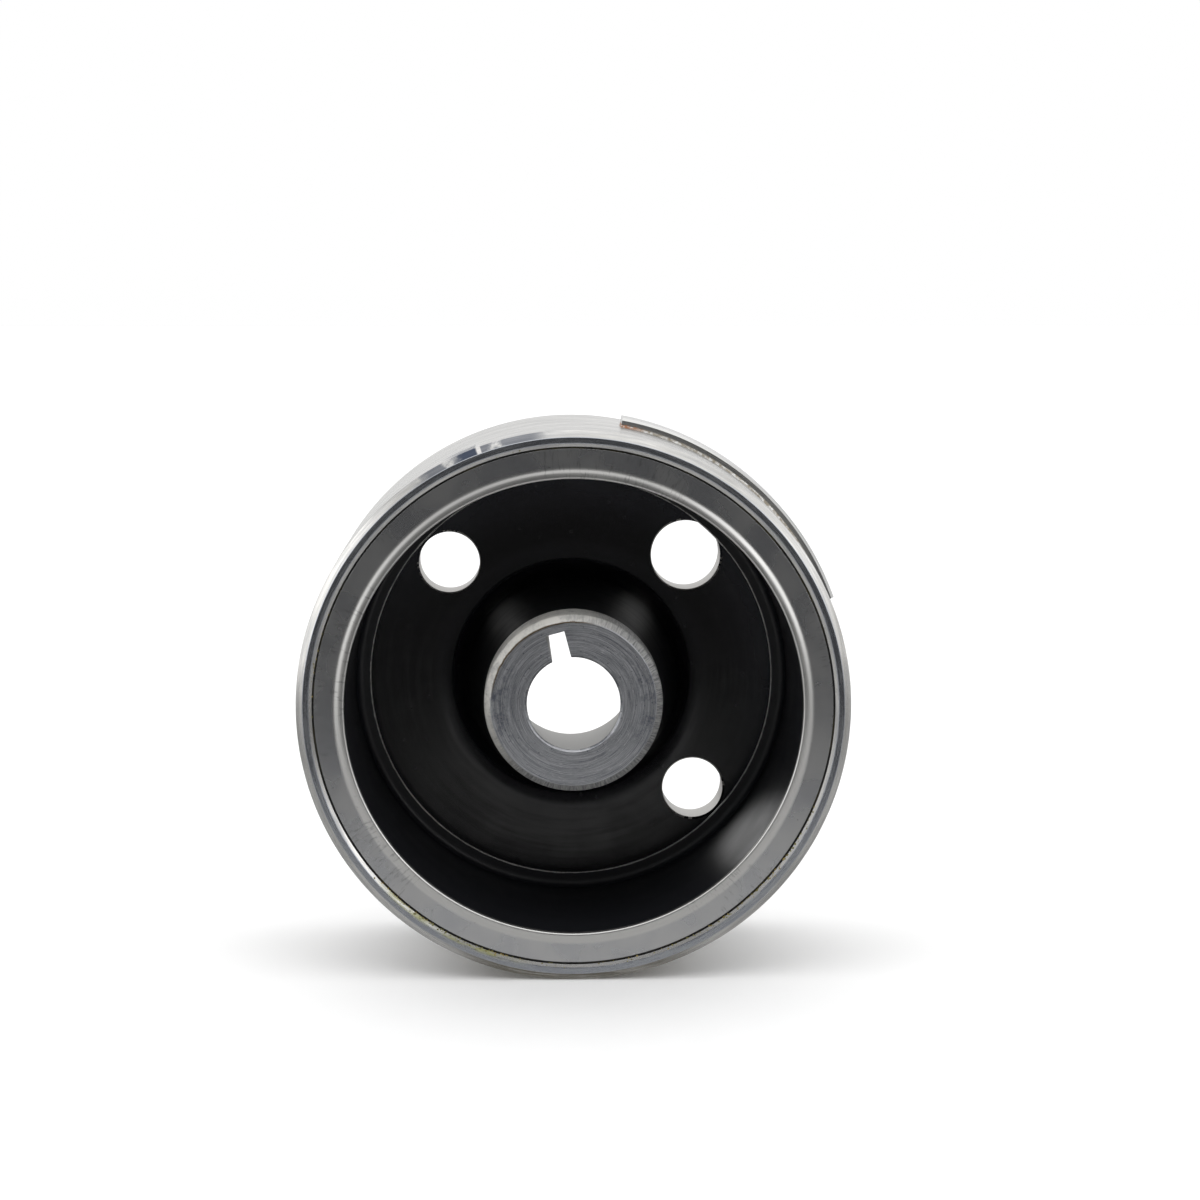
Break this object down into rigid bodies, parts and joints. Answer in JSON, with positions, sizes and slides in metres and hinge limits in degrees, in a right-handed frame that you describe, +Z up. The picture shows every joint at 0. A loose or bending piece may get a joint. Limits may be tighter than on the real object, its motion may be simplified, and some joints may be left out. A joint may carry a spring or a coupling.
{
  "type": "magneto flywheel rotor",
  "caption": "Deep steel flywheel rotor with a keyed taper hub, arc magnets behind a drawn cover with a rolled lip, web holes and a raised trigger strip on the rim.",
  "frame": {"origin": "on the shaft axis, in the plane of the hub's rear face, at the wide end of the taper", "axes": "+Y along the shaft axis out of the rear face; the open stator side faces -Y; +Z up as it stands on its rim"},
  "size_m": [0.116, 0.0555, 0.1169],
  "materials": {
    "forged_steel": "turned bare steel outside and on the hub nose, satin black coat inside the cup",
    "strip_steel": "milled bare steel with dark edges",
    "stainless": "drawn stainless sheet, rubbed bright on its lip and flange, black coated on its wall",
    "cage_resin": "black moulded resin",
    "ferrite": "ground dark grey ferrite"
  },
  "bodies": {
    "root": {"rotor_body": "forged_steel", "trigger_strip": "strip_steel", "magnet_cover": "stainless", "magnet_cage": "cage_resin", "magnet_01": "ferrite", "magnet_02": "ferrite", "magnet_03": "ferrite", "magnet_04": "ferrite", "magnet_05": "ferrite", "magnet_06": "ferrite", "magnet_07": "ferrite", "magnet_08": "ferrite", "magnet_09": "ferrite", "magnet_10": "ferrite", "magnet_11": "ferrite", "magnet_12": "ferrite"}
  },
  "joints": []
}
